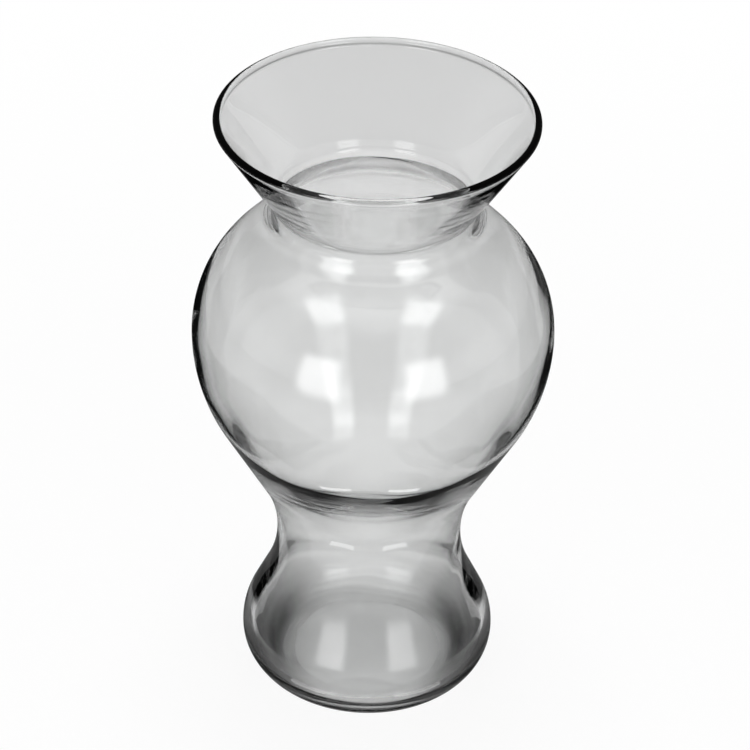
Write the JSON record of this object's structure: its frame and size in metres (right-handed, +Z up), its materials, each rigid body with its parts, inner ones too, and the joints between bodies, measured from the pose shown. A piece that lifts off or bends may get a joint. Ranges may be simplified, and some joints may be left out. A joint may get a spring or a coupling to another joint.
{
  "type": "hyacinth forcing vase",
  "caption": "Clear blown-glass bulb vase: flared cone mouth that cradles a bulb, tight neck, round water globe, narrow waist and a bulbous, thick-based foot.",
  "frame": {"origin": "middle of the plane that the vase stands on", "axes": "+Z up along the axis that the glass is turned about, towards the mouth"},
  "size_m": [0.1104, 0.1104, 0.2],
  "materials": {
    "clear_glass": "gloss"
  },
  "bodies": {
    "root": {"glass_vessel": "clear_glass"}
  },
  "joints": []
}
